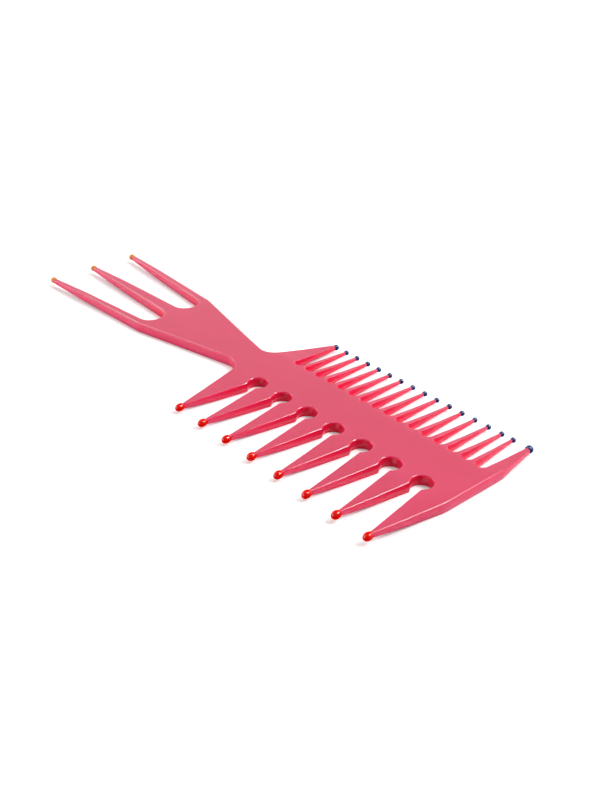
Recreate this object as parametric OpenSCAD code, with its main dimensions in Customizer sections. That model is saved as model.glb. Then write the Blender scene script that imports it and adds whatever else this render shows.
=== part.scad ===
// Flat double-sided comb with a three-prong pick for a handle, moulded in pink plastic.
// Wide teeth hang from one side of the spine, with a keyhole between each pair, and a row of
// fine teeth stands on the other side between two guard teeth. Every tooth and prong ends in
// a bead of coloured resin.
// The comb lies flat. X runs along it, with the fork towards minus X, and the wide teeth point
// to minus Y. The origin is under the middle of the outline, on the surface it lies on.

/* [Moulding] */
// Thickness of the spine and the handle
thickness = 4; // [3.8:0.1:5]
// Width that a side wall gains for each unit of height on its way to the parting line
wall_draft = 0.17; // [0.05:0.01:0.2]
// Width of the spine, from the roots of the wide teeth to the roots of the fine teeth
spine_w = 25.2; // [22:0.2:30]

/* [Wide teeth] */
// Number of wide teeth
wide_count = 8; // [7:1:9]
// Distance from one wide tooth to the next
wide_pitch = 14; // [13:0.2:16]
// Length of a wide tooth, from the spine to its bead
wide_len = 27; // [22:0.5:34]
// Gap between two wide teeth where they meet the spine
neck_w = 4.4; // [3.4:0.1:5.4]
// Width of a wide tooth at its bead
wide_tip_w = 1.4; // [1:0.05:1.6]
// Height of a wide tooth at its bead
wide_tip_h = 1.9; // [1.4:0.05:2]
// Height of the upper face above the parting line where its fall slows down
wide_mid_top = 1.34; // [1:0.02:1.5]
// Depth of the lower face below the parting line where its rise begins
wide_mid_bottom = 1.9; // [1.2:0.05:1.9]
// Diameter of a keyhole at the parting line
keyhole_d = 7; // [6.4:0.1:8]
// Extra width at the root of the first wide tooth, on the side of the handle
first_flare = 2.7; // [1.5:0.1:3.5]
// Extra width at the root of the last wide tooth, on the end of the comb
last_flare = 0.94; // [0.5:0.02:2]

/* [Fine teeth] */
// Number of fine teeth between the two guard teeth
fine_count = 15; // [13:1:17]
// Length of a fine tooth, from the spine to its bead
fine_len = 20.8; // [17:0.2:26]
// Width of a fine tooth at the spine
fine_root_w = 2.3; // [1.8:0.1:2.6]
// Width of a fine tooth at its bead
fine_tip_w = 1; // [0.7:0.05:1.05]
// Width of a guard tooth at its bead
guard_tip_w = 1.2; // [0.9:0.05:1.3]
// Extra width of a guard tooth at its bead, on its outer side
guard_tip_flare = 0.7; // [0:0.1:1]
// Height of a fine tooth where it leaves the spine
fine_root_h = 3.7; // [2.6:0.1:3.7]
// Height of a fine tooth where its taper slows down
fine_mid_h = 2.25; // [1.4:0.05:2.6]
// Height of a fine tooth at its bead
fine_tip_h = 1.3; // [0.8:0.05:1.5]
// Height of a guard tooth where its taper eases
guard_mid_h = 2.5; // [1.6:0.05:2.9]
// Height of a guard tooth at its bead
guard_tip_h = 1.7; // [1:0.05:2]
// Distance inside the roots of the fine teeth at which the spine begins to thin
fine_taper_in = 1.6; // [1:0.1:3]
// Distance from the first wide tooth in to the first guard tooth
first_guard_in = 2.2; // [1:0.1:3.5]
// Distance from the last wide tooth out to the last guard tooth
last_guard_out = 1.4; // [0.6:0.1:2]
// Extra width at the root of the first guard tooth, on the side of the handle
guard_flare = 8; // [6.5:0.1:9]
// Distance by which the last fine tooth leans away from the guard tooth beside it
last_fine_lean = 1.1; // [0:0.1:1.3]
// Distance by which the last guard tooth stops short of the fine teeth
last_guard_short = 0.7; // [0:0.1:1.5]

/* [Handle and fork] */
// Distance from the roots of the wide teeth up to the middle line of the handle
handle_rise = 14.1; // [13:0.1:15]
// Distance from the first wide tooth to the shoulders of the fork
shoulder_reach = 65; // [55:0.5:75]
// Distance from the middle line to each shoulder of the fork
shoulder_half = 18.5; // [18:0.1:20]
// Distance that each edge of the handle spreads for each unit of length towards the fork
handle_spread = 0.226; // [0.2:0.002:0.25]
// Radius of the waist on the side of the wide teeth, at the parting line
near_waist_r = 8.2; // [5:0.2:9]
// Radius of the waist on the side of the fine teeth, at the parting line
far_waist_r = 6.2; // [4:0.2:7]
// Distance from the shoulders to the roots of the prongs
root_set = 3.8; // [2:0.1:6]
// Length of a prong, from its root to its bead
prong_len = 61.7; // [50:0.5:75]
// Distance between the middle prong and an outer one at their tips
prong_gap = 21; // [20:0.2:23]
// Distance from the middle line to the middle of the valley beside it
valley_out = 8.9; // [8.6:0.1:9.4]
// Radius of the round valley between two prongs, at the parting line
valley_r = 5.1; // [4.6:0.1:5.6]
// Width of a prong at its bead
prong_tip_w = 2.1; // [1.2:0.05:2.4]
// Height of a prong at its bead
prong_tip_h = 1.9; // [1.2:0.05:2.2]
// Height of a prong where its taper steepens
prong_mid_h = 3.6; // [2:0.1:3.9]

/* [Beads] */
// Diameter of the bead on a wide tooth
wide_bead_d = 3.1; // [2.7:0.1:3.5]
// Diameter of the bead on a fine tooth
fine_bead_d = 1.8; // [1.7:0.1:2.2]
// Diameter of the bead on the first guard tooth
first_guard_bead_d = 2.2; // [2:0.1:2.6]
// Diameter of the bead on the last guard tooth
last_guard_bead_d = 3; // [2.2:0.1:3.4]
// Diameter of the bead on a prong
prong_bead_d = 2.9; // [2.7:0.1:3.3]
// Gap round the stub of a tooth inside its bead
bond_gap = 0.03; // [0.02:0.01:0.05]

/* [Hidden] */
$fn = 64;

pink = [0.87, 0.39, 0.47];
red = [0.8, 0.08, 0.04];
navy = [0.1, 0.18, 0.38];
gold = [0.82, 0.58, 0.24];

// Each taper changes its slope at this share of the tooth's length
wide_mid_share = 0.53;
fine_mid_share = 0.43;
prong_mid_share = 0.62;
// The outer edge of the last guard tooth turns inwards at this share of its length
guard_bend_share = 0.13;

// Shares of a bead's radius: seat to centre, length of its straight middle, stub
seat_share = 0.65;
stretch_share = 0.1;
stub_r_share = 0.26;
stub_len_share = 0.8;

// A cutter runs past the faces that it cuts by this much
overrun = 1;
// A stub starts this far inside its tooth
sink = 0.4;
// The seam between spine and handle lies this far past the arcs of the waist
seam_land = 2;
// The arcs of the waist stop this far short of the feet of the teeth
foot_land = 0.2;

half_t = thickness / 2;
row_x = wide_pitch * (wide_count - 1);
root_half = (wide_pitch - neck_w) / 2;
head_x = row_x + root_half + last_flare;

// The neck of a keyhole is as wide as the gap below it
keyhole_y = sqrt(pow(keyhole_d / 2, 2) - pow(neck_w / 2, 2));

// The fine row is shared out evenly from one guard tooth to the other
fine_last = fine_count + 2;
last_guard_x = row_x + last_guard_out;
fine_pitch = (last_guard_x - first_guard_in) / (fine_last - 1);
slot_r = (fine_pitch - fine_root_w) / 2;
guard_foot_x = first_guard_in - fine_root_w / 2 - guard_flare;

shoulder_x = -shoulder_reach;
prong_root_x = shoulder_x - root_set;
prong_tip_half = prong_tip_w / 2;
// Distance from the middle line to the outside of an outer prong, at the prong's root
prong_root_out = shoulder_half
    + (prong_gap + prong_tip_half - shoulder_half) * root_set / (root_set + prong_len);

function unit(v) = v / norm(v);
function half_width(x) = shoulder_half - handle_spread * (x - shoulder_x);
function near_edge(x) = [x, handle_rise - half_width(x)];
function far_edge(x) = [x, handle_rise + half_width(x)];

// Where the line through p along u meets the line through q along v
function meeting(p, u, q, v) = p + u * cross(q - p, v) / cross(u, v);

// A round in the corner at c between edges that leave it along u and v, given as the radius
// that the length of edge lets it have, its centre and its two ends
function half_sine(u, v) = sqrt(1 - pow(norm(u + v) / 2, 2));
function tangent_ratio(u, v) = norm(u + v) / 2 / half_sine(u, v);
function round_in(c, u, v, r, room) =
    let (fit = min(r, room / tangent_ratio(u, v)), along = fit * tangent_ratio(u, v))
    [fit, c + unit(u + v) * fit / half_sine(u, v), c + u * along, c + v * along];

// The two rounds of the waist
tooth_foot = [-root_half - first_flare, 0];
tooth_dir = unit([-wide_tip_w / 2, -wide_len] - tooth_foot);
near_dir = unit(near_edge(shoulder_x) - near_edge(0));
near_corner = meeting(near_edge(0), near_dir, tooth_foot, tooth_dir);
near_waist = round_in(near_corner, near_dir, tooth_dir, near_waist_r,
    norm(near_corner - tooth_foot) - foot_land);

guard_foot = [guard_foot_x, spine_w];
guard_tip_out = guard_tip_w / 2 + guard_tip_flare;
guard_dir = unit([first_guard_in - guard_tip_out, spine_w + fine_len] - guard_foot);
far_dir = unit(far_edge(shoulder_x) - far_edge(0));
far_corner = meeting(far_edge(0), far_dir, guard_foot, guard_dir);
far_waist = round_in(far_corner, far_dir, guard_dir, far_waist_r,
    norm(far_corner - guard_foot) - foot_land);

seam_x = min(near_waist[2].x, far_waist[2].x) - seam_land;

// The whole outline, for placing the origin
function bead_reach(d) = d / 2 * (seat_share + 1 + stretch_share);
bead_tops = [bead_reach(fine_bead_d), bead_reach(first_guard_bead_d),
    bead_reach(last_guard_bead_d) - last_guard_short];
low_corner = [prong_root_x - prong_len - bead_reach(prong_bead_d),
    -wide_len - bead_reach(wide_bead_d)];
high_corner = [head_x, spine_w + fine_len + max(bead_tops)];
middle = (low_corner + high_corner) / 2;

module in_frame() {
    translate([-middle.x, -middle.y, half_t]) children();
}

// A wall that leans out to the parting line: everything to the right of the way from p to q
// goes. The cut runs on past p and q where run_on says so.
module lean_edge(p, q, run_on = [1, 1]) {
    along = unit(q - p);
    start = p - along * overrun * run_on[0];
    length = norm(q - p) + overrun * (run_on[0] + run_on[1]);
    lean = wall_draft * half_t;
    translate(start) rotate(atan2(along.y, along.x)) rotate([90, 0, 90]) linear_extrude(length)
        polygon([
            [lean + wall_draft * overrun, half_t + overrun],
            [0, 0],
            [lean + wall_draft * overrun, -half_t - overrun],
            [-overrun, -half_t - overrun],
            [-overrun, half_t + overrun]
        ]);
}

// A round hole or hollow whose wall is narrowest at the parting line
module lean_round(r) {
    top = half_t + overrun;
    for (side = [0, 1])
        mirror([0, 0, side]) cylinder(h = top, r1 = r, r2 = r + wall_draft * top);
}

// One section of a tooth, with six corners, widest at the parting line
function section(at, left, right, up, down) = [
    [-left + wall_draft * down, at, -down],
    [right - wall_draft * down, at, -down],
    [right, at, 0],
    [right - wall_draft * up, at, up],
    [-left + wall_draft * up, at, up],
    [-left, at, 0]
];

function mix(a, b, share) = a + (b - a) * share;
// A height at a share of the length, with the given values at the root, at mid and at the tip
function fall(heights, mid, share) = share < mid
    ? mix(heights[0], heights[1], share / mid)
    : mix(heights[1], heights[2], (share - mid) / (1 - mid));

// A tooth along Y from its root. left and right hold its half widths at root and tip, up and
// down its heights at root, mid and tip. Its right side is straight up to the bend.
module taper(length, left, right, up, down, mid, bend = 0) {
    shares = bend > 0 ? [0, bend, mid, 1] : [0, mid, 1];
    rings = [for (s = shares) section(
        s * length,
        mix(left[0], left[1], s),
        mix(right[0], right[1], max(0, s - bend) / (1 - bend)),
        fall(up, mid, s),
        fall(down, mid, s))];
    corners = len(rings[0]);
    tip = corners * (len(rings) - 1);
    polyhedron(
        points = [for (ring = rings) each ring],
        faces = concat(
            [[for (k = [corners - 1:-1:0]) k]],
            [[for (k = [0:corners - 1]) tip + k]],
            [for (base = [0:corners:tip - corners]) for (k = [0:corners - 1])
                let (next = (k + 1) % corners, above = base + corners)
                [base + k, base + next, above + next, above + k]]
        ));
}

module along_y() {
    rotate([-90, 0, 0]) children();
}

module stub(bead_d) {
    translate([0, -sink, 0]) along_y()
        cylinder(h = sink + bead_d / 2 * stub_len_share, r = bead_d / 2 * stub_r_share);
}

// A drop of resin that sits on the flat end of a tooth, over the stub
module bead(d) {
    r = d / 2;
    seat = r * seat_share;
    stretch = r * stretch_share;
    along_y() rotate_extrude() difference() {
        union() {
            translate([0, seat]) circle(r);
            translate([0, seat + stretch]) circle(r);
            translate([0, seat]) square([r, stretch]);
        }
        translate([-r - overrun, -r]) square([r + overrun, d + d]);
        translate([-r, -r]) square([d, r]);
        square([r * stub_r_share + bond_gap, r * stub_len_share + bond_gap]);
    }
}

// Puts a tooth where it belongs, pointing out of the comb
module at_wide(i) {
    in_frame() translate([wide_pitch * (i - 1), 0, 0]) rotate(180) children();
}

module at_fine(i) {
    in_frame() translate([first_guard_in + fine_pitch * (i - 1), spine_w, 0]) children();
}

module at_fork(i) {
    in_frame() translate([prong_root_x, handle_rise, 0]) rotate(90)
        mirror([i == 1 ? 1 : 0, 0, 0]) translate([i == 2 ? 0 : prong_gap, 0, 0]) children();
}

function fine_shift(i) = i == fine_last - 1 ? -last_fine_lean : 0;
function fine_reach(i) = fine_len - (i == fine_last ? last_guard_short : 0);
function fine_bead(i) = i == 1 ? first_guard_bead_d
    : i == fine_last ? last_guard_bead_d
    : fine_bead_d;

module spine() {
    color(pink) in_frame() difference() {
        translate([0, 0, -half_t]) linear_extrude(thickness) polygon([
            tooth_foot,
            [head_x, 0],
            [head_x, spine_w],
            guard_foot,
            far_waist[3],
            far_waist[1],
            far_waist[2],
            far_edge(seam_x),
            near_edge(seam_x),
            near_waist[2],
            near_waist[1],
            near_waist[3]
        ]);
        lean_edge([head_x, 0], [head_x, spine_w]);
        lean_edge(far_waist[2], far_edge(seam_x), [0, 1]);
        lean_edge(near_edge(seam_x), near_waist[2], [1, 0]);
        translate(near_waist[1]) lean_round(near_waist[0]);
        translate(far_waist[1]) lean_round(far_waist[0]);
        for (i = [1:wide_count - 1])
            translate([wide_pitch * (i - 0.5), keyhole_y]) lean_round(keyhole_d / 2);
        for (i = [1:fine_last - 1])
            translate([first_guard_in + fine_pitch * (i - 0.5), spine_w]) lean_round(slot_r);
        for (side = [0, 1]) mirror([0, 0, side]) fine_edge_fall();
    }
}

// The faces of the spine fall a little before the fine teeth begin
module fine_edge_fall() {
    start = far_waist[1].x;
    translate([start, spine_w, 0]) rotate([90, 0, 90]) linear_extrude(head_x + overrun - start)
        polygon([
            [-fine_taper_in, half_t],
            [0, fine_root_h / 2],
            [overrun + slot_r, fine_root_h / 2],
            [overrun + slot_r, half_t + overrun],
            [-fine_taper_in, half_t + overrun]
        ]);
}

module handle() {
    color(pink) in_frame() difference() {
        near_root = [prong_root_x, handle_rise - prong_root_out];
        far_root = [prong_root_x, handle_rise + prong_root_out];
        translate([0, 0, -half_t]) linear_extrude(thickness) polygon([
            near_root,
            near_edge(shoulder_x),
            near_edge(seam_x),
            far_edge(seam_x),
            far_edge(shoulder_x),
            far_root
        ]);
        lean_edge(near_root, near_edge(shoulder_x));
        lean_edge(near_edge(shoulder_x), near_edge(seam_x));
        lean_edge(far_edge(seam_x), far_edge(shoulder_x));
        lean_edge(far_edge(shoulder_x), far_root);
        for (side = [-1, 1])
            translate([prong_root_x, handle_rise + side * valley_out]) lean_round(valley_r);
    }
}

module wide_tooth(i) {
    handle_side = root_half + (i == 1 ? first_flare : 0);
    head_side = root_half + (i == wide_count ? last_flare : 0);
    tip_half = wide_tip_w / 2;
    color(pink) at_wide(i) {
        taper(wide_len,
            [head_side, tip_half],
            [handle_side, tip_half],
            [half_t, wide_mid_top, wide_tip_h / 2],
            [half_t, wide_mid_bottom, wide_tip_h / 2],
            wide_mid_share);
        translate([0, wide_len, 0]) stub(wide_bead_d);
    }
}

module fine_tooth(i) {
    guard = i == 1 || i == fine_last;
    root_w = fine_root_w / 2;
    tip_w = (guard ? guard_tip_w : fine_tip_w) / 2;
    shift = fine_shift(i);
    heights = [
        fine_root_h,
        guard ? guard_mid_h : fine_mid_h,
        guard ? guard_tip_h : fine_tip_h
    ] / 2;
    color(pink) at_fine(i) {
        taper(fine_reach(i),
            i == 1 ? [root_w + guard_flare, guard_tip_out] : [root_w, tip_w - shift],
            i == fine_last ? [head_x - last_guard_x, guard_tip_out] : [root_w, tip_w + shift],
            heights,
            heights,
            fine_mid_share,
            i == fine_last ? guard_bend_share : 0);
        translate([shift, fine_reach(i), 0]) stub(fine_bead(i));
    }
}

module fork_prong(i) {
    root_in = i == 2 ? valley_out - valley_r : prong_gap - valley_out - valley_r;
    root_out = i == 2 ? root_in : prong_root_out - prong_gap;
    heights = [thickness, prong_mid_h, prong_tip_h] / 2;
    color(pink) at_fork(i) {
        taper(prong_len,
            [root_in, prong_tip_half],
            [root_out, prong_tip_half],
            heights,
            heights,
            prong_mid_share);
        translate([0, prong_len, 0]) stub(prong_bead_d);
    }
}

module wide_bead(i) {
    color(red) at_wide(i) translate([0, wide_len, 0]) bead(wide_bead_d);
}

module fine_bead_at(i) {
    color(navy) at_fine(i) translate([fine_shift(i), fine_reach(i), 0]) bead(fine_bead(i));
}

module fork_bead(i) {
    color(gold) at_fork(i) translate([0, prong_len, 0]) bead(prong_bead_d);
}

spine();
handle();
for (i = [1:wide_count]) {
    wide_tooth(i);
    wide_bead(i);
}
for (i = [1:fine_last]) {
    fine_tooth(i);
    fine_bead_at(i);
}
for (i = [1:3]) {
    fork_prong(i);
    fork_bead(i);
}
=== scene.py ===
import math
import random

import bmesh
import bpy
import numpy as np
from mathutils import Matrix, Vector
from mathutils.geometry import delaunay_2d_cdt


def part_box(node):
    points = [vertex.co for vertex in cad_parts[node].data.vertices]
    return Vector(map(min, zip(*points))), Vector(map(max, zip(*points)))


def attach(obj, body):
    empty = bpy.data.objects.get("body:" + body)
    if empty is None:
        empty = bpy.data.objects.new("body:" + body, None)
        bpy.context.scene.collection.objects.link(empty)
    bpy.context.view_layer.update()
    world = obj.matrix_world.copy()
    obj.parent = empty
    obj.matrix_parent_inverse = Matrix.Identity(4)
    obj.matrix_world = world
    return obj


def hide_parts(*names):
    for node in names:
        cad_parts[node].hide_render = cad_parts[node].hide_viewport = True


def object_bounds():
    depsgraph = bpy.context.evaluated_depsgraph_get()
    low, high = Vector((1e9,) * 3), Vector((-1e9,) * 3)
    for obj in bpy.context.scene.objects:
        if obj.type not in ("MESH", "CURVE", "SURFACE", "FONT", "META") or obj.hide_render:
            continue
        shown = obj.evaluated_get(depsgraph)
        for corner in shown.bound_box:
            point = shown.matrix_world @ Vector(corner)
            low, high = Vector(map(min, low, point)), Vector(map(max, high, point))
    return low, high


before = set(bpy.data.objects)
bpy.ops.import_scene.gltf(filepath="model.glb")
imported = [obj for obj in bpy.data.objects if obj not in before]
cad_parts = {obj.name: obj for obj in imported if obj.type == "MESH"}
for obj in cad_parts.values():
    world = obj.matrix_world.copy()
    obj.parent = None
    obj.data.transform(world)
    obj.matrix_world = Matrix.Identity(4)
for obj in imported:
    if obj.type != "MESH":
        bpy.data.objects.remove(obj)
cadLow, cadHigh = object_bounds()
scene = bpy.context.scene
mm = 0.001
tau = 2 * math.pi
print("frame loaded,", len(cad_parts), "nodes")


# Camera, as the comb was photographed: from past the head end, on the side of the wide teeth

camera = {
    "place": (0.27827, -0.20483, 0.18797),
    "tilt": 59.736,  # degrees up from straight down
    "turn": 49.498,  # degrees round from looking along +Y
    "lens": 45.588,
    "sensor": 36,
    "nearest": 0.01,
}


def makeCamera():
    data = bpy.data.cameras.new("camera")
    data.sensor_width = camera["sensor"]
    data.lens = camera["lens"]
    data.clip_start = camera["nearest"]
    eye = bpy.data.objects.new("camera", data)
    eye.location = camera["place"]
    eye.rotation_euler = (math.radians(camera["tilt"]), 0, math.radians(camera["turn"]))
    scene.collection.objects.link(eye)
    scene.camera = eye


makeCamera()
scene.view_settings.view_transform = "Standard"


# Shader maths written as Python sums

class Wire:
    def __init__(self, surface, socket):
        self.surface = surface
        self.socket = socket

    def sum(self, operation, first, second):
        return self.surface.add("ShaderNodeMath", {"operation": operation}, {0: first, 1: second})

    def __add__(self, other):
        return self.sum("ADD", self, other)

    def __radd__(self, other):
        return self.sum("ADD", other, self)

    def __sub__(self, other):
        return self.sum("SUBTRACT", self, other)

    def __rsub__(self, other):
        return self.sum("SUBTRACT", other, self)

    def __mul__(self, other):
        return self.sum("MULTIPLY", self, other)

    def __rmul__(self, other):
        return self.sum("MULTIPLY", other, self)

    def __pow__(self, other):
        return self.sum("POWER", self, other)

    def __rpow__(self, other):
        return self.sum("POWER", other, self)


class Surface:
    def __init__(self, owner):
        owner.use_nodes = True
        self.owner = owner
        self.tree = owner.node_tree
        self.tree.nodes.clear()
        self.place = None

    def add(self, kind, settings=None, sockets=None, out=0):
        node = self.tree.nodes.new(kind)
        for name, value in (settings or {}).items():
            if name == "stops":
                self.setStops(node.color_ramp, value)
            else:
                setattr(node, name, value)
        for name, value in (sockets or {}).items():
            if isinstance(value, Wire):
                self.tree.links.new(value.socket, node.inputs[name])
            else:
                node.inputs[name].default_value = value
        return Wire(self, node.outputs[out]) if len(node.outputs) else node

    def setStops(self, ramp, stops):
        while len(ramp.elements) < len(stops):
            ramp.elements.new(0.5)
        for element, (place, shade) in zip(ramp.elements, stops):
            element.position = place
            element.color = shade if isinstance(shade, tuple) else (shade, shade, shade, 1)

    def spot(self):  # place on the object in metres
        if self.place is None:
            self.place = self.add("ShaderNodeTexCoord", out="Object")
        return self.place

    def where(self, stretch=(1, 1, 1)):  # the same in millimetres, stretched
        return self.add("ShaderNodeVectorMath", {"operation": "MULTIPLY"},
                        {0: self.spot(), 1: tuple(s / mm for s in stretch)})

    def axis(self, vector, number):
        return self.add("ShaderNodeSeparateXYZ", {}, {0: vector}, out=number)

    def upright(self):  # one where the surface faces up, minus one where it faces down
        return self.axis(self.add("ShaderNodeNewGeometry", out="Normal"), 2)

    def noise(self, size, detail=2.0, stretch=(1, 1, 1), warp=0.0):
        return self.add("ShaderNodeTexNoise", {}, {
            "Vector": self.where(stretch), "Scale": 1 / size, "Detail": detail, "Distortion": warp})

    def ramp(self, value, *stops):  # each stop is a place and a colour, or a grey from 0 to 1
        return self.add("ShaderNodeValToRGB", {"stops": stops}, {"Fac": value})

    def rising(self, value, start, end):
        return self.ramp(value, (start, 0), (end, 1))

    def falling(self, value, start, end):
        return self.ramp(value, (start, 1), (end, 0))

    def mix(self, share, first, second):
        sockets = {0: share, 6: first, 7: second}
        return self.add("ShaderNodeMix", {"data_type": "RGBA"}, sockets, out=2)

    def blend(self, share, first, second):
        return self.add("ShaderNodeMixShader", {}, {0: share, 1: first, 2: second})

    def bump(self, height, depth, strength=1.0, under=None):
        sockets = {"Height": height, "Distance": depth, "Strength": strength}
        if under:
            sockets["Normal"] = under
        return self.add("ShaderNodeBump", {}, sockets)

    def finish(self, shader):
        kind = "World" if isinstance(self.owner, bpy.types.World) else "Material"
        self.add("ShaderNodeOutput" + kind, {}, {"Surface": shader})
        return self.owner


def colour(red, green, blue):  # a colour given 0 to 255, as the shader wants it
    return tuple((v / 255 / 12.92 if v < 11 else ((v / 255 + 0.055) / 1.055) ** 2.4)
                 for v in (red, green, blue)) + (1.0,)


# The pink moulding

plastic = {
    "deep": colour(192, 24, 73),
    "light": colour(197, 29, 79),
    "flowSize": 26,  # the deep and light streams in the plastic
    "flowStretch": (0.35, 1, 1),
    "flowWarp": 0.6,
    "flowBand": (0.35, 0.65),
    "side": colour(231, 56, 104),  # the polished walls on the outside, painted lighter than the faces: painted light
    "gap": colour(237, 38, 89),  # those in the gaps, painted redder: painted light bounced between the teeth
    "hollow": colour(211, 21, 62),  # and those of the keyholes, painted darker: painted shade
    "gapReach": 12,
    "gapLightBand": (0.85, 1.0),  # share of open space round a point
    "hollowBand": (0.66, 0.8),
    "hollowSide": (0, 0.005),  # in metres across the comb: the painted keyhole shade stays off the fine teeth
    "steepBand": (0.45, 0.92),  # how level the surface is, from the walls with their painted light to the faces
    "edgeStops": ((0.6, 0), (0.7, 1), (0.96, 1), (0.998, 0)),
    "roughFace": 0.34,  # the flat faces have the fine texture of the mould
    "roughWall": 0.16,  # the walls are polished
    "roughEdge": 0.1,  # and the edges, which shine most
    "edgeCoat": 0.9,
    "faceSharp": 12,
    "patchSize": 7,
    "patchRough": 0.08,
    "grainSize": 0.35,
    "grainDepth": 0.004,
    "grainShare": 0.6,
    "waveSize": 14,
    "waveDepth": 0.03,
    "waveShare": 0.5,
    "scratchWidth": 0.25,
    "scratchStretch": 0.012,
    "scratchWarp": 0.2,
    "scratchBand": (0.62, 0.7),
    "scratchRough": 0.05,
    "bend": 1.5,  # how far light turns on its way in
    "glow": 0.85,
    "glowReach": (1.2, 0.35, 0.42),  # millimetres that each colour travels inside
}


def pinkPlastic():
    s = Surface(bpy.data.materials.new("pink_plastic"))
    p = plastic
    flow = s.noise(p["flowSize"], 3, p["flowStretch"], p["flowWarp"])
    tint = s.mix(s.rising(flow, *p["flowBand"]), p["deep"], p["light"])
    lift = s.add("ShaderNodeMath", {"operation": "ABSOLUTE"}, {0: s.upright()})
    edge = s.ramp(lift, *p["edgeStops"])
    # Open space round each point, from the comb alone: walls in the gaps get a redder painted
    # light, standing in for light bounced between the teeth
    free = s.add("ShaderNodeAmbientOcclusion", {"only_local": True},
                 {"Distance": p["gapReach"] * mm}, out="AO")
    wall = s.mix(s.rising(free, *p["gapLightBand"]), p["gap"], p["side"])
    # Where the keyholes close round a wall, it gets a darker painted shade
    keyhole = s.falling(free, *p["hollowBand"]) * s.falling(s.axis(s.spot(), 1), *p["hollowSide"])
    wall = s.mix(keyhole, wall, p["hollow"])
    scratch = s.noise(p["scratchWidth"], 2, (p["scratchStretch"], 1, 1), p["scratchWarp"])
    rough = p["roughWall"] + (p["roughFace"] - p["roughWall"]) * lift ** p["faceSharp"]
    rough = rough + s.rising(scratch, *p["scratchBand"]) * p["scratchRough"]
    rough = rough + (s.noise(p["patchSize"], 3) - 0.5) * p["patchRough"]
    wave = s.bump(s.noise(p["waveSize"], 1), p["waveDepth"] * mm, p["waveShare"])
    grain = s.bump(s.noise(p["grainSize"], 3), p["grainDepth"] * mm, p["grainShare"], wave)
    # Walls take the wall colours with their painted light and shade, flat faces the plastic's own
    # streaked tint
    shader = s.add("ShaderNodeBsdfPrincipled", {}, {
        "Base Color": s.mix(s.falling(lift, *p["steepBand"]), tint, wall), "Roughness": rough,
        "IOR": p["bend"], "Normal": grain, "Subsurface Weight": p["glow"],
        "Subsurface Radius": p["glowReach"], "Subsurface Scale": mm,
        "Coat Weight": edge * p["edgeCoat"], "Coat Roughness": p["roughEdge"]})
    return s.finish(shader)


# The resin of the beads

resins = {
    "red_resin": {
        "thin": colour(230, 13, 1), "thick": colour(213, 5, 0),
        "coat": 1.0, "clear": 1.7, "glow": 0.3},
    "navy_resin": {
        "thin": colour(22, 64, 130), "thick": colour(7, 33, 80),
        "coat": 1.0, "clear": 1.9, "glow": 0.1},
    "gold_resin": {
        "thin": colour(226, 158, 80), "thick": colour(206, 134, 56),
        "coat": 0.5, "clear": 1.6, "glow": 0.3},
}
skin = {  # what the three resins share
    "cloudSize": 1.1,
    "cloudWarp": 0.8,
    "cloudBand": (0.3, 0.7),
    "coatStops": ((0.3, 0), (0.48, 1), (0.86, 1), (0.93, 0)),  # thickest half way up
    "coatRough": 0.03,
    "rippleSize": 0.5,
    "rippleDepth": 0.01,
    "rippleShare": 0.5,
    "rough": 0.12,
    "roughSize": 0.8,
    "roughSpread": 0.06,
    "shine": 0.02,  # of the resin under its clear coat
    "bend": 1.5,
    "glowReach": (1.2, 0.4, 0.2),
}


def resin(name):
    look = resins[name]
    s = Surface(bpy.data.materials.new(name))
    cloud = s.noise(skin["cloudSize"], 3, warp=skin["cloudWarp"])
    thinner = s.rising(cloud, *skin["cloudBand"])
    coat = s.ramp(s.upright(), *skin["coatStops"]) * look["coat"]
    ripple = s.bump(s.noise(skin["rippleSize"], 2), skin["rippleDepth"] * mm, skin["rippleShare"])
    rough = skin["rough"] + (s.noise(skin["roughSize"], 2) - 0.5) * skin["roughSpread"]
    shader = s.add("ShaderNodeBsdfPrincipled", {}, {
        "Base Color": s.mix(thinner, look["thick"], look["thin"]), "Roughness": rough,
        "IOR": skin["bend"], "Specular IOR Level": skin["shine"], "Normal": ripple,
        "Coat Weight": coat, "Coat Roughness": skin["coatRough"], "Coat IOR": look["clear"],
        "Subsurface Weight": look["glow"], "Subsurface Radius": skin["glowReach"],
        "Subsurface Scale": mm})
    return s.finish(shader)


materials = {"pink_plastic": pinkPlastic(), **{name: resin(name) for name in resins}}
print("materials made")


def pieceFrom(form, name, material):
    mesh = bpy.data.meshes.new(name)
    form.to_mesh(mesh)
    form.free()
    mesh.materials.append(material)
    piece = bpy.data.objects.new(name, mesh)
    scene.collection.objects.link(piece)
    return piece


# The moulding is drawn in millimetres from the middle of the first wide tooth, where it
# meets the spine. Its places come from the frame, and its widths are these.

comb = {
    "draft": 0.17,  # width that a wall gains on its way to the parting line
    "neck": 4.4,  # gap between two wide teeth at the spine
    "neckRound": 1.2,
    "keyhole": 3.5,  # radius at the parting line
    "wideTip": 1.4,
    "wideTipRound": 0.42,
    "firstFlare": 2.7,  # extra width of the first wide tooth, towards the handle
    "headRound": 20,
    "fineRoot": 2.3,
    "fineTip": 1.0,
    "fineTipRound": 0.3,
    "guardIn": 0.6,  # from the middle of its bead to the inner and outer corner of a guard tooth
    "guardOut": 1.3,
    "guardFlare": 8,
    "guardBend": 2.7,  # height at which the last guard tooth turns inwards
    "guardRound": 12,
    "nearWaist": 8.2,
    "farWaist": 6.2,
    "waistLand": 0.2,  # the arcs of the waist stop this far short of the teeth
    "spread": 0.226,  # each edge of the handle, towards the fork
    "shoulder": (-65.0, 18.5),
    "shoulderRound": 9,
    "forkRoot": -68.8,
    "valleyOut": 8.9,
    "valley": 5.1,
    "prongTip": 2.1,
    "prongTipRound": 0.63,
    "crease": 0.08,  # half height of the crease at the parting line
}

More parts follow.
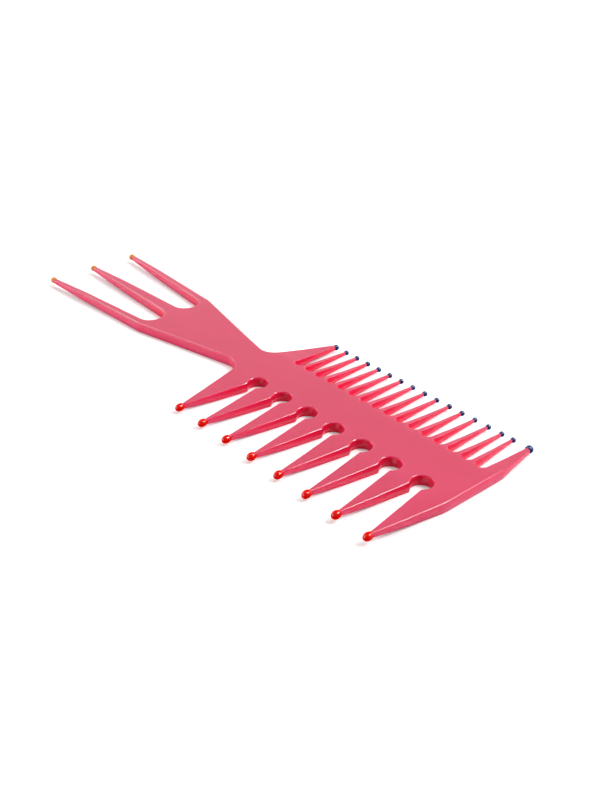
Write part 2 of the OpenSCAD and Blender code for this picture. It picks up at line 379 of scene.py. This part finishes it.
rounding = {  # radius of the round along the edges
    "plate": 0.42,
    "handle": 0.9,
    "handleFrom": (-9.0, -28.0),  # it grows from the first place to the second
    "fork": 1.25,
    "forkTip": 0.7,
    "wideTip": 0.36,
    "fineRoot": 0.34,
    "fineTip": 0.17,
    "under": 0.16,
    "steps": 12,
    "flatness": 0.65,  # from a plain arc to plain chamfers
}

draftAngle = math.atan(comb["draft"])


def tipOf(node, side):  # where a tooth ends inside its bead: middle of the bead's flat seat
    low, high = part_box(node)
    x = high.x if side == "fork" else (low.x + high.x) / 2
    y = (low.y + high.y) / 2 if side == "fork" else (high.y if side == "wide" else low.y)
    return Vector((x / mm, y / mm))


def countOf(stem):
    return sum(name.startswith(stem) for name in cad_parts)


spineLow, spineHigh = (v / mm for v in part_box("spine"))
halfT = (spineHigh.z - spineLow.z) / 2
wideTips = [tipOf(f"wide_bead_{i + 1}", "wide") for i in range(countOf("wide_bead_"))]
fineTips = [tipOf(f"fine_bead_{i + 1}", "fine") for i in range(countOf("fine_bead_"))]
forkTips = [tipOf(f"fork_bead_{i + 1}", "fork") for i in range(countOf("fork_bead_"))]
origin = Vector((wideTips[0].x, spineLow.y))
wideTips, fineTips, forkTips = (
    [tip - origin for tip in tips] for tips in (wideTips, fineTips, forkTips))

widePitch = wideTips[1].x - wideTips[0].x
finePitch = fineTips[1].x - fineTips[0].x
spineW = spineHigh.y - spineLow.y
headX = spineHigh.x - origin.x
axisY = forkTips[1].y
rootHalf = (widePitch - comb["neck"]) / 2
fineX = [fineTips[0].x + finePitch * i for i in range(len(fineTips))]  # roots of the fine row
print("comb measured: pitch %.2f and %.2f mm, spine %.1f mm" % (widePitch, finePitch, spineW))


def heading(start, end):
    return (Vector(end) - Vector(start)).normalized()


def rounded(corner, before, after, radius):  # the circle that rounds a corner of the outline
    corner = Vector(corner)
    u, v = heading(corner, before), heading(corner, after)
    turn = heading(before, corner).cross(heading(corner, after))
    half = math.acos(max(-1, min(1, u.dot(v)))) / 2
    centre = corner + (u + v).normalized() * radius / math.sin(half)
    return (centre.x, centre.y, math.copysign(radius, turn))


def meeting(p, u, q, v):  # of two lines, each a point and a direction
    return p + u * ((q - p).cross(v) / u.cross(v))


def tipCircles(tip, out, before, after, radius):  # the two corners of a tooth's end, in order
    across = Vector((-out.y, out.x))
    inner = tip - out * radius
    return [(*(inner + across * (half - radius) * side), radius)
            for side, half in ((-1, before), (1, after))]


def edgeAt(x, side):  # on an edge of the handle
    shoulderX, shoulderHalf = comb["shoulder"]
    return Vector((x, axisY + side * (shoulderHalf - comb["spread"] * (x - shoulderX))))


def waist(side, foot, tip, radius):  # the round between the handle and the first tooth
    edge = heading(edgeAt(0, side), edgeAt(comb["shoulder"][0], side))
    tooth = heading(foot, tip)
    corner = meeting(edgeAt(0, side), edge, foot, tooth)
    angle = math.acos(edge.dot(tooth)) / 2
    radius = min(radius, ((corner - foot).length - comb["waistLand"]) * math.tan(angle))
    return rounded(corner, corner + edge, corner + tooth, radius)


def outlineCircles():  # every round of the outline, in order, with the solid on the left
    down, up, back = Vector((0, -1)), Vector((0, 1)), Vector((-1, 0))
    wideHalf, prongHalf = comb["wideTip"] / 2, comb["prongTip"] / 2
    keyY = math.sqrt(comb["keyhole"] ** 2 - (comb["neck"] / 2) ** 2)
    reach = comb["keyhole"] + comb["neckRound"]
    neckX = rootHalf - comb["neckRound"]
    neckY = keyY - math.sqrt(reach ** 2 - (widePitch / 2 - neckX) ** 2)
    firstFoot = Vector((-rootHalf - comb["firstFlare"], 0))
    nearTip = wideTips[0] - Vector((wideHalf, 0))
    near = waist(-1, firstFoot, nearTip, comb["nearWaist"])
    near = (near[0], near[1], -abs(near[2]))
    circles = [near]
    for i, tip in enumerate(wideTips):
        if i > 0:
            circles.append((tip.x - neckX, neckY, comb["neckRound"]))
        circles += tipCircles(tip, down, wideHalf, wideHalf, comb["wideTipRound"])
        if i < len(wideTips) - 1:
            circles.append((tip.x + neckX, neckY, comb["neckRound"]))
            circles.append((tip.x + widePitch / 2, keyY, -comb["keyhole"]))
    lastTip = wideTips[-1] + Vector((wideHalf, 0))
    bend = Vector((headX, spineW + comb["guardBend"]))
    guardTip = fineTips[-1] + Vector((comb["guardOut"], 0))
    circles.append(rounded((headX, 0), lastTip, bend, comb["headRound"]))
    circles.append(rounded(bend, (headX, 0), guardTip, comb["guardRound"]))
    slot = (finePitch - comb["fineRoot"]) / 2
    for i in range(len(fineTips) - 1, -1, -1):
        before = after = comb["fineTip"] / 2
        if i == len(fineTips) - 1:
            before, after = comb["guardOut"], comb["guardIn"]
        if i == 0:
            before, after = comb["guardIn"], comb["guardOut"]
        circles += tipCircles(fineTips[i], up, before, after, comb["fineTipRound"])
        if i > 0:
            circles.append(((fineX[i] + fineX[i - 1]) / 2, spineW, -slot))
    guardFoot = Vector((fineX[0] - comb["fineRoot"] / 2 - comb["guardFlare"], spineW))
    far = waist(1, guardFoot, fineTips[0] - Vector((comb["guardOut"], 0)), comb["farWaist"])
    circles.append((far[0], far[1], -abs(far[2])))
    for side in (1, -1):
        corner = edgeAt(comb["shoulder"][0], side)
        outside = forkTips[2 if side > 0 else 0] + Vector((0, side * prongHalf))
        ends = (edgeAt(0, side), outside)[::side]
        circles.append(rounded(corner, ends[0], ends[1], comb["shoulderRound"]))
        if side > 0:
            for i in (2, 1, 0):
                tip = forkTips[i]
                circles += tipCircles(tip, back, prongHalf, prongHalf, comb["prongTipRound"])
                if i > 0:
                    valleyY = axisY + (comb["valleyOut"] if i == 2 else -comb["valleyOut"])
                    circles.append((comb["forkRoot"], valleyY, -comb["valley"]))
    return circles


def traceOutline(circles, arcStep=math.radians(8), lineStep=2.2, nearest=1e-3):
    headings = []
    for (ax, ay, a), (bx, by, b) in zip(circles, circles[1:] + circles[:1]):
        gap = math.hypot(bx - ax, by - ay)
        lean = math.asin(max(-1, min(1, (b - a) / gap)))
        headings.append(math.atan2(by - ay, bx - ax) - lean)
    trace = []  # place and inward direction of each point
    for k, (x, y, radius) in enumerate(circles):
        turn = (headings[k] - headings[k - 1]) % tau
        if radius < 0:
            turn -= tau
        steps = max(3, math.ceil(abs(turn) / arcStep))  # a small round stays round
        for i in range(steps + 1):
            angle = headings[k - 1] + turn * i / steps
            inward = Vector((-math.sin(angle), math.cos(angle)))
            point = Vector((x, y)) - inward * radius
            if not trace or (point - trace[-1][0]).length > nearest:
                trace.append((point, inward))
        nx, ny, following = circles[(k + 1) % len(circles)]
        start = trace[-1][0]
        end = Vector((nx, ny)) - inward * following
        steps = max(1, round((end - start).length / lineStep))
        for i in range(1, steps):
            trace.append((start.lerp(end, i / steps), inward))
    if (trace[0][0] - trace[-1][0]).length < nearest:
        trace.pop()
    return trace


# How the faces fall away from the spine towards the tips: where each fall starts, the
# half thickness where it changes pace and at the tip, and how softly it turns

falls = {
    "wideTop": {"start": 0.0, "share": 0.53, "middle": 1.34, "end": 0.9, "soft": 3.0},
    "wideUnder": {"start": 0.0, "share": 0.53, "middle": 1.9, "end": 1.0, "soft": 2.0},
    "fineTop": {"start": -1.6, "share": 0.43, "middle": 1.04, "end": 0.55, "soft": 1.2},
    "fineUnder": {"start": -1.6, "share": 0.43, "middle": 1.21, "end": 0.75, "soft": 1.2},
    "guardTop": {"start": -1.6, "share": 0.43, "middle": 1.2, "end": 0.8, "soft": 1.2},
    "guardUnder": {"start": -1.6, "share": 0.43, "middle": 1.3, "end": 0.9, "soft": 1.2},
    "fork": {"start": 0.0, "share": 0.62, "middle": 1.8, "end": 0.95, "soft": 4.0},
}
zones = {  # where on the comb each fall and each round holds
    "teethX": -15.0,  # the teeth are on this side of the waist
    "handleX": -5.0,  # and the wider round of the handle is on that side
    "wideY": 4.0,
    "fineIn": 6.0,  # distances inside the roots of the fine teeth
    "fineRoundIn": 3.0,
    "forkIn": 6.0,  # and inside the roots of the prongs
    "shoulderIn": 8.0,
    "guardEase": 1.0,  # the change from a guard tooth to a fine one keeps off both by this
}


def eased(value, start, end):  # nought before the start, one past the end
    share = max(0, min(1, (value - start) / (end - start)))
    return share * share * (3 - 2 * share)


def ramp(distance, soft):  # nothing before nought, then the distance, with a soft start
    if distance <= -soft:
        return 0.0
    if distance >= soft:
        return distance
    return (distance + soft) ** 2 / (4 * soft)


def fallen(kind, out, length):  # half thickness at a distance out from the roots
    f = falls[kind]
    middle = f["share"] * length
    first = (halfT - f["middle"]) / (middle - f["start"])
    second = (f["middle"] - f["end"]) / (length - middle)
    slower = (first - second) * ramp(out - middle, f["soft"] / 2)
    return halfT - first * ramp(out - f["start"], f["soft"]) + slower


def heightAt(x, y, side):  # half thickness of the moulding, above or below the parting line
    face = "Top" if side > 0 else "Under"
    if x < comb["forkRoot"] + zones["forkIn"]:
        return fallen("fork", comb["forkRoot"] - x, comb["forkRoot"] - forkTips[1].x)
    if x > zones["teethX"] and y < zones["wideY"]:
        return fallen("wide" + face, -y, -wideTips[0].y)
    if x > zones["teethX"] and y > spineW - zones["fineIn"]:
        out, length, ease = y - spineW, fineTips[0].y - spineW, zones["guardEase"]
        guard = 1 - eased(x, fineX[0] + ease, fineX[1] - ease) \
            + eased(x, fineX[-2] + ease, fineX[-1] - ease)
        fine = fallen("fine" + face, out, length)
        return fine + guard * (fallen("guard" + face, out, length) - fine)
    return halfT


def between(first, second, share):
    return rounding[first] + (rounding[second] - rounding[first]) * share


def roundAt(x, y, side):
    root = comb["forkRoot"]
    if side < 0:
        return rounding["under"]
    if x < root:  # on the prongs
        return between("fork", "forkTip", (root - x) / (root - forkTips[1].x))
    if x < root + zones["shoulderIn"]:
        return between("handle", "fork", eased(x, root + zones["shoulderIn"], root))
    if x < zones["handleX"]:
        return between("plate", "handle", eased(x, *rounding["handleFrom"]))
    if y < 0:
        return between("plate", "wideTip", y / wideTips[0].y)
    if y > spineW:
        return between("fineRoot", "fineTip", (y - spineW) / (fineTips[0].y - spineW))
    if y > spineW - zones["fineRoundIn"]:
        return between("fineRoot", "plate", (spineW - y) / zones["fineRoundIn"])
    return rounding["plate"]


def faceNormal(x, y, side, step=0.05):
    slopeX = (heightAt(x + step, y, side) - heightAt(x - step, y, side)) / (2 * step)
    slopeY = (heightAt(x, y + step, side) - heightAt(x, y - step, side)) / (2 * step)
    return Vector((-slopeX, -slopeY, side)).normalized()


def roundProfile(chamfers, dense=20):  # shares of the way in and up, and the rise of the normal
    wave = tau * chamfers
    rows = [(0.0, 0.0, draftAngle)]
    inward = upward = 0
    count = rounding["steps"] * dense
    for i in range(count):
        share = (i + 0.5) / count
        turned = share + rounding["flatness"] * math.sin(wave * share) / wave
        angle = draftAngle + (math.pi / 2 - draftAngle) * turned
        inward += math.sin(angle)
        upward += math.cos(angle)
        if (i + 1) % dense == 0:
            rows.append((inward, upward, angle))
    return [(a / inward, b / inward, angle) for a, b, angle in rows]


singleRound, doubleRound = np.array(roundProfile(1)), np.array(roundProfile(2))


def halfSection(point, inward, side):  # from the parting line out to the flat face
    radius = roundAt(*point, side)
    height = heightAt(*point, side)
    profile = singleRound + (doubleRound - singleRound) * eased(point.x, *rounding["handleFrom"])
    for _ in range(2):
        wallTop = height - radius * profile[-1][1]
        inset = comb["draft"] * wallTop + radius
        height = heightAt(*(point + inward * inset), side)
    outward = Vector((-inward.x, -inward.y, 0))
    wall = outward * math.cos(draftAngle) + Vector((0, 0, side * math.sin(draftAngle)))
    foot = point + inward * comb["draft"] * comb["crease"]
    rows = [((*foot, side * comb["crease"]), wall)]
    top = faceNormal(*(point + inward * inset), side)
    for across, rise, angle in profile:
        place = point + inward * (comb["draft"] * wallTop + radius * across)
        normal = (outward * math.cos(angle) + top * math.sin(angle)).normalized()
        rows.append(((*place, side * (wallTop + radius * rise)), normal))
    return rows


def fillFace(ring, spacing=2.5, clear=0.125):  # the flat face inside the last ring of the edge
    flat = np.array([(p[0], p[1]) for p in ring])
    low, high = flat.min(0), flat.max(0)
    across = np.arange(low[0] + spacing / 2, high[0], spacing)
    along = np.arange(low[1] + spacing / 2, high[1], spacing)
    inner = [(x, y) for x in across for y in along
             if ((flat - (x, y)) ** 2).sum(1).min() > spacing ** 2 * clear]
    count = len(ring)
    edges = [(i, (i + 1) % count) for i in range(count)]
    points, _, triangles, origins, _, _ = delaunay_2d_cdt(
        [Vector(p) for p in [*flat.tolist(), *inner]], edges, [], 1, 1e-6)
    return points, triangles, origins


def makeComb():
    trace = traceOutline(outlineCircles())
    sections = []
    for point, inward in trace:
        under = halfSection(point, inward, -1)
        over = halfSection(point, inward, 1)
        crease = [((*point, 0.0), Vector((-inward.x, -inward.y, 0)))]
        sections.append(under[::-1] + crease + over)
    rows = len(sections[0])
    count = len(sections)
    places = [s[j][0] for j in range(rows) for s in sections]
    normals = [s[j][1] for j in range(rows) for s in sections]
    faces = []
    for j in range(rows - 1):
        for i in range(count):
            after, over = (i + 1) % count, (j + 1) * count
            faces.append((j * count + i, j * count + after, over + after, over + i))
    for side, start in ((1, (rows - 1) * count), (-1, 0)):
        points, triangles, origins = fillFace(places[start:start + count])
        index = {}
        for k, found in enumerate(origins):
            ringHits = [f for f in found if f < count]
            if ringHits:
                index[k] = start + ringHits[0]
        for triangle in triangles:
            for k in triangle:
                if k not in index:
                    index[k] = len(places)
                    x, y = points[k]
                    places.append((x, y, side * heightAt(x, y, side)))
                    normals.append(faceNormal(x, y, side))
            a, b, c = (points[k] for k in triangle)
            ccw = (b - a).cross(c - a) > 0
            corners = triangle if ccw == (side > 0) else triangle[::-1]
            faces.append(tuple(index[k] for k in corners))
    form = bmesh.new()
    shift = Vector((origin.x, origin.y, halfT + spineLow.z))
    made = [form.verts.new((Vector(p) + shift) * mm) for p in places]
    for corners in faces:
        form.faces.new([made[i] for i in corners]).smooth = True
    piece = pieceFrom(form, "comb", materials["pink_plastic"])
    piece.data.normals_split_custom_set_from_vertices(normals)
    print("comb made,", len(places), "points")
    return piece


moulded = [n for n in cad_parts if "bead" not in n]
combPiece = makeComb()
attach(combPiece, "root")
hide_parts(*moulded)


# A bead of resin: a drop that narrows onto the end of its tooth

bead = {  # lengths here are shares of its radius
    "centre": 0.65,  # from the tooth's end outwards
    "stretch": 1.05,  # length of the half beyond the middle
    "tail": 1.05,  # and of the half towards the tooth
    "seam": 0.1,  # where the neck joins the bulb
    "turns": 40,
    "neckRows": 10,
    "bulbRows": 15,
    "size": (0.97, 1.0),  # no two drops are quite alike in size,
    "sag": (0.01, 0.05),  # in how low they hang
    "sway": (-0.03, 0.03),  # or in how far they lean to a side
}
beadKinds = {
    "wide": {"out": (0, -1), "slot": "red_resin", "skirt": 0.95, "foot": 0.5, "swell": 0.95,
             "centre": 0.56, "stretch": 1.22, "seam": -0.7, "tail": 1.6},
    "fine": {"out": (0, 1), "slot": "navy_resin", "skirt": 0.5, "foot": 0.4, "swell": 1.14},
    "fork": {"out": (-1, 0), "slot": "gold_resin", "skirt": 0.4, "foot": 0.5, "swell": 1.0},
}
guardBeads = {  # the two guard teeth are wider, and their beads sit closer
    0: {"swell": 1.09, "centre": 0.5, "skirt": 0.2},
    len(fineTips) - 1: {"swell": 1.0, "skirt": 0.2},
}


def beadProfile(look, step=1e-3):  # distance along the tooth and distance from its middle line
    centre, stretch, tail, seam = (
        look.get(k, bead[k]) for k in ("centre", "stretch", "tail", "seam"))

    def bulb(t):
        return math.sqrt(max(0, 1 - ((t - centre) / tail) ** 2))
    slope = (bulb(seam + step) - bulb(seam - step)) / (2 * step)
    length = seam + look["skirt"]
    rows = []
    for i in range(bead["neckRows"]):
        s = i / bead["neckRows"]
        late = 3 * s ** 2 - 2 * s ** 3
        rho = (1 - late) * look["foot"] + late * bulb(seam) - s ** 2 * (1 - s) * slope * length
        rows.append((-look["skirt"] + length * s, rho))
    first = math.acos((seam - centre) / tail)
    for i in range(bead["bulbRows"]):
        angle = first * (1 - i / bead["bulbRows"])
        reach = tail if angle > math.pi / 2 else stretch
        rows.append((centre + reach * math.cos(angle), math.sin(angle)))
    return rows, centre + stretch


def makeBead(node, kind, look, chance):
    low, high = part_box(node)
    out = Vector((*look["out"], 0))
    across = Vector((-out.y, out.x, 0))
    up = Vector((0, 0, 1))
    seat = Vector((*tipOf(node, kind), (low.z + high.z) / 2 / mm))
    radius = (high.z - low.z) / 2 / mm * look["swell"] * chance.uniform(*bead["size"])
    sag = chance.uniform(*bead["sag"])
    sway = chance.uniform(*bead["sway"])
    profile, end = beadProfile(look)
    form = bmesh.new()

    def place(t, side, height):
        lean = max(0, t)
        offset = out * t + across * (side + sway * lean) + up * (height - sag * lean)
        return (seat + offset * radius) * mm
    rings = []
    for t, rho in profile:
        angles = [tau * k / bead["turns"] for k in range(bead["turns"])]
        spots = [place(t, rho * math.cos(a), rho * math.sin(a)) for a in angles]
        rings.append([form.verts.new(spot) for spot in spots])
    pole = form.verts.new(place(end, 0, 0))
    for a, b in zip(rings, rings[1:]):
        for k in range(len(a)):
            following = (k + 1) % len(a)
            form.faces.new((a[k], a[following], b[following], b[k]))
    last = rings[-1]
    for k in range(len(last)):
        form.faces.new((last[k], last[(k + 1) % len(last)], pole))
    form.faces.new(rings[0][::-1])
    bmesh.ops.recalc_face_normals(form, faces=form.faces)
    for face in form.faces:
        face.smooth = True
    piece = pieceFrom(form, "drop_" + node, materials[look["slot"]])
    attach(piece, "root")
    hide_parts(node)


chance = random.Random(11)  # always the same drops
for kind, look in beadKinds.items():
    for i in range(countOf(kind + "_bead_")):
        extra = guardBeads.get(i, {}) if kind == "fine" else {}
        makeBead(f"{kind}_bead_{i + 1}", kind, {**look, **extra}, chance)
print("beads made")


# Floor, light and surroundings

studio = {
    "floorSize": 4.0,
    "floorDrop": 0.03,
    "dips": {  # the paper sags a little there, in millimetres
        "fork": {"from": 58, "to": 118, "depth": 0.8},  # along minus X
        "head": {"place": (112, -37), "from": 26, "to": 4, "depth": 0.8},  # round that place
    },
    "fineHalf": 180,  # the floor has fine squares under and beside the comb
    "fineStep": 5,
    "floorShade": 0.85,
    "floorGlow": 0.6,  # seen by the camera only, so the floor is white
    "glowNear": 0.38,  # share of the glow beside the comb
    "glowReach": (0.16, 0.75),
    "behind": (-0.49, 0.59, 0.64),  # a bright wall stands there, and the room elsewhere is dim
    "wall": 1.4,
    "wallStart": 0.5,
    "room": 0.12,
}
lamps = {  # azimuth and height in degrees, metres and watts
    "key": {"from": (43, 50), "shape": "DISK", "size": (0.36, 0.36), "power": 6.4},
    "window": {"from": (49, 35), "shape": "RECTANGLE", "size": (0.5, 0.35), "power": 1.5},
    "top": {"from": (90, 80), "shape": "DISK", "size": (0.3, 0.3), "power": 0.85},
    "left": {"from": (174, 44), "shape": "DISK", "size": (0.4, 0.4), "power": 0.85},
    "fill": {"from": (232, 16), "shape": "RECTANGLE", "size": (2.0, 0.8), "power": 10.0},
}


def sagAt(x, y):
    fork, head = studio["dips"]["fork"], studio["dips"]["head"]
    away = math.hypot(x - head["place"][0], y - head["place"][1])
    underFork = fork["depth"] * eased(-x, fork["from"], fork["to"])
    underHead = head["depth"] * eased(-away, -head["from"], -head["to"])
    return -underFork - underHead


def makeFloor():
    s = Surface(bpy.data.materials.new("floor"))
    seen = s.add("ShaderNodeLightPath", out="Is Camera Ray")
    shade = studio["floorShade"]
    matt = s.add("ShaderNodeBsdfDiffuse", {}, {"Color": (shade, shade, shade, 1)})
    dark = s.add("ShaderNodeEmission", {}, {"Strength": 0.0})
    glow = s.add("ShaderNodeEmission", {}, {"Strength": studio["floorGlow"]})
    away = s.add("ShaderNodeVectorMath", {"operation": "LENGTH"}, {0: s.spot()}, out="Value")
    nearby, far = studio["glowReach"]
    share = s.ramp(away, (nearby, studio["glowNear"]), (far, 1))
    both = s.add("ShaderNodeAddShader", {}, {0: matt, 1: s.blend(seen * share, dark, glow)})
    form = bmesh.new()
    rim, half, step = studio["floorSize"] / 2 / mm, studio["fineHalf"], studio["fineStep"]
    outer = [rim / 8, rim / 4, rim / 2, rim]
    lines = [*(-v for v in outer[::-1]), *range(-half, half + 1, step), *outer]
    grid = [[form.verts.new(Vector((x, y, sagAt(x, y))) * mm) for x in lines] for y in lines]
    for a, b in zip(grid, grid[1:]):
        for i in range(len(lines) - 1):
            form.faces.new((a[i], a[i + 1], b[i + 1], b[i])).smooth = True
    floor = pieceFrom(form, "floor", s.finish(both))
    floor.location.z = cadLow.z - studio["floorDrop"] * mm


def makeLamp(name, look):
    azimuth, rise = (math.radians(v) for v in look["from"])
    level = math.cos(rise)
    towards = Vector((level * math.cos(azimuth), level * math.sin(azimuth), math.sin(rise)))
    data = bpy.data.lights.new(name, "AREA")
    data.shape = look["shape"]
    data.size, data.size_y = look["size"]
    data.energy = look["power"]
    lamp = bpy.data.objects.new(name, data)
    lamp.location = towards
    lamp.rotation_euler = towards.to_track_quat("Z", "Y").to_euler()
    scene.collection.objects.link(lamp)


def makeSky():
    s = Surface(bpy.data.worlds.new("studio"))
    seen = s.add("ShaderNodeLightPath", out="Is Camera Ray")
    towards = s.add("ShaderNodeTexCoord", out="Generated")
    behind = s.add("ShaderNodeVectorMath", {"operation": "DOT_PRODUCT"}, {
        0: towards, 1: studio["behind"]}, out="Value")

    def even(level):
        return s.add("ShaderNodeBackground", {}, {"Color": (1, 1, 1, 1), "Strength": level})
    bright = s.rising(behind, studio["wallStart"], 1)
    light = s.blend(bright, even(studio["room"]), even(studio["wall"]))
    scene.world = s.finish(s.blend(seen, light, even(1.0)))


makeFloor()
for name, look in lamps.items():
    makeLamp(name, look)
makeSky()
print("studio made")
